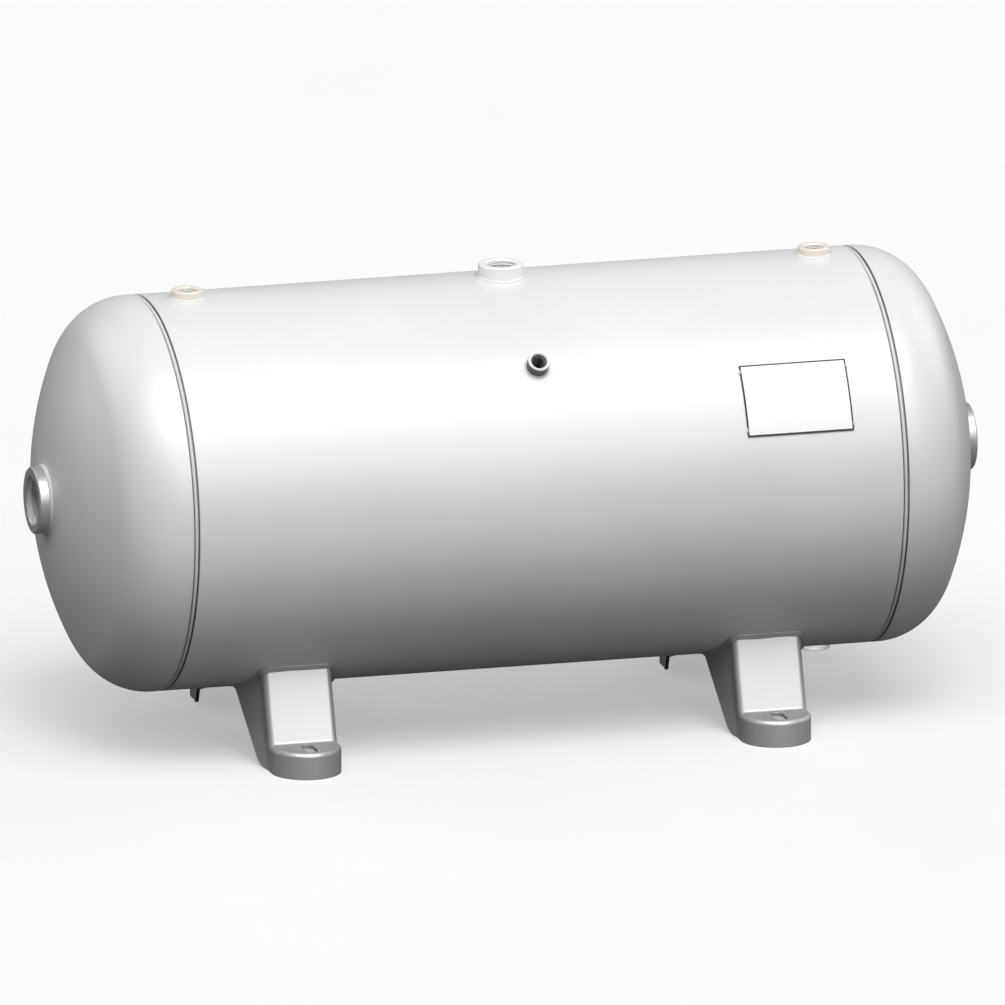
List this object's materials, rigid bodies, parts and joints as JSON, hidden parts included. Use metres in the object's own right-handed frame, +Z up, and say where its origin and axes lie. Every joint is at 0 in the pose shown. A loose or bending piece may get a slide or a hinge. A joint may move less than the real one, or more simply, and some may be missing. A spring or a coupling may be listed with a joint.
{
  "type": "air receiver tank",
  "caption": "Horizontal welded compressed-air receiver: rolled shell, dished heads, threaded ports, blank data plate and four pressed-sheet feet with slotted pads",
  "frame": {"origin": "on the floor, under the middle of the tank", "axes": "X along the tank from the left end to the right end, -Y is the front with the data plate and side port, +Z up"},
  "size_m": [0.8678, 0.3556, 0.4195],
  "materials": {
    "tank_paint": "smooth satin white enamel over rolled and pressed steel, faint orange peel",
    "weld_paint": "white enamel over rippled weld beads, slightly greyer in the toes",
    "coupling_beige": "warm beige primer on turned steel couplings",
    "coupling_slate": "dark slate oxide on a turned steel coupling, bright machined face",
    "plate_paint": "thin sheet-metal data plate under white enamel, blank",
    "foot_paint": "silver-grey satin paint over pressed sheet and its welds",
    "port_steel": "silver-grey satin finish on turned steel couplings, fine lathe marks"
  },
  "bodies": {
    "root": {"shell": "tank_paint", "left_head": "tank_paint", "right_head": "tank_paint", "left_girth_weld": "weld_paint", "right_girth_weld": "weld_paint", "long_seam_weld": "weld_paint", "left_end_coupling": "port_steel", "right_end_coupling": "port_steel", "top_center_coupling": "tank_paint", "top_left_coupling": "coupling_beige", "top_right_coupling": "coupling_beige", "side_coupling": "coupling_slate", "drain_coupling": "coupling_beige", "left_end_coupling_weld": "weld_paint", "right_end_coupling_weld": "weld_paint", "top_center_coupling_weld": "weld_paint", "top_left_coupling_weld": "weld_paint", "top_right_coupling_weld": "weld_paint", "side_coupling_weld": "weld_paint", "drain_coupling_weld": "weld_paint", "data_plate": "plate_paint", "data_plate_tack_welds": "weld_paint", "front_left_foot": "foot_paint", "front_right_foot": "foot_paint", "rear_left_foot": "foot_paint", "rear_right_foot": "foot_paint", "front_left_foot_weld": "foot_paint", "front_right_foot_weld": "foot_paint", "rear_left_foot_weld": "foot_paint", "rear_right_foot_weld": "foot_paint"}
  },
  "joints": []
}
